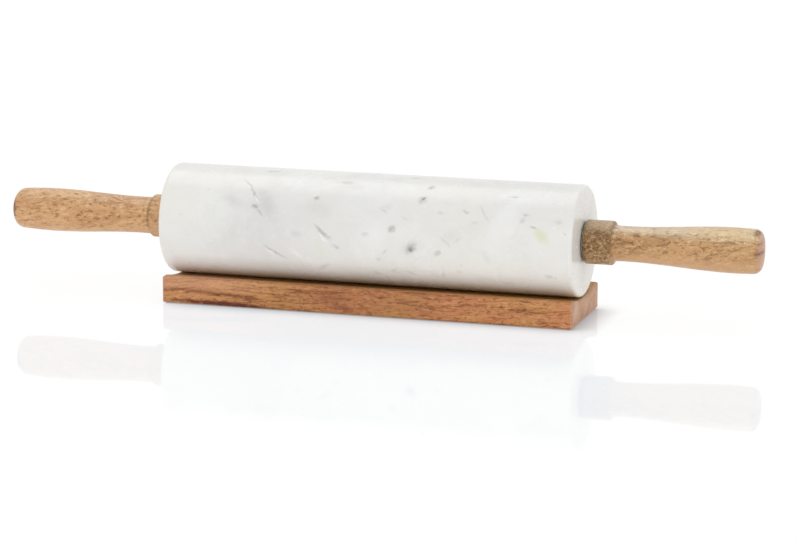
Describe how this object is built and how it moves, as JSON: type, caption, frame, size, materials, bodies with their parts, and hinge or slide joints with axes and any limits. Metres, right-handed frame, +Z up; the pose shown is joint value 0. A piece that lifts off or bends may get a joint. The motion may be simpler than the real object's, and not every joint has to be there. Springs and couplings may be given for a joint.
{
  "type": "rolling pin",
  "caption": "Marble rolling pin with turned wooden handles, a barrel that spins on a steel rod, and a scooped wooden cradle board.",
  "frame": {"origin": "on the cradle's underside, straight below the middle of the pin", "axes": "+X along the pin, +Y across the cradle, +Z up"},
  "size_m": [0.458, 0.065, 0.0781],
  "materials": {
    "marble": "polished white marble with soft grey veins",
    "handle_wood": "turned light hardwood, oiled, with fine dark flecks along the grain",
    "cradle_wood": "warm brown hardwood board, oiled, eased arrises",
    "nylon": "off-white bearing plastic",
    "steel": "drawn steel rod",
    "brass": "turned brass insert"
  },
  "bodies": {
    "cradle": {"cradle": "cradle_wood"},
    "handles": {"axle_rod": "steel", "washer_left": "nylon", "washer_right": "nylon", "insert_left": "brass", "insert_right": "brass", "handle_left": "handle_wood", "handle_right": "handle_wood"},
    "barrel": {"marble_roller": "marble", "bush_left": "nylon", "bush_right": "nylon"}
  },
  "joints": [
    {"name": "lift_off", "type": "slide", "parent": "cradle", "child": "handles", "axis": [0, 0, 1], "range_m": [0, 0.12]},
    {"name": "roller_spin", "type": "hinge", "parent": "handles", "child": "barrel", "pos_m": [0, 0, 0.0456], "axis": [1, 0, 0], "continuous": true}
  ]
}
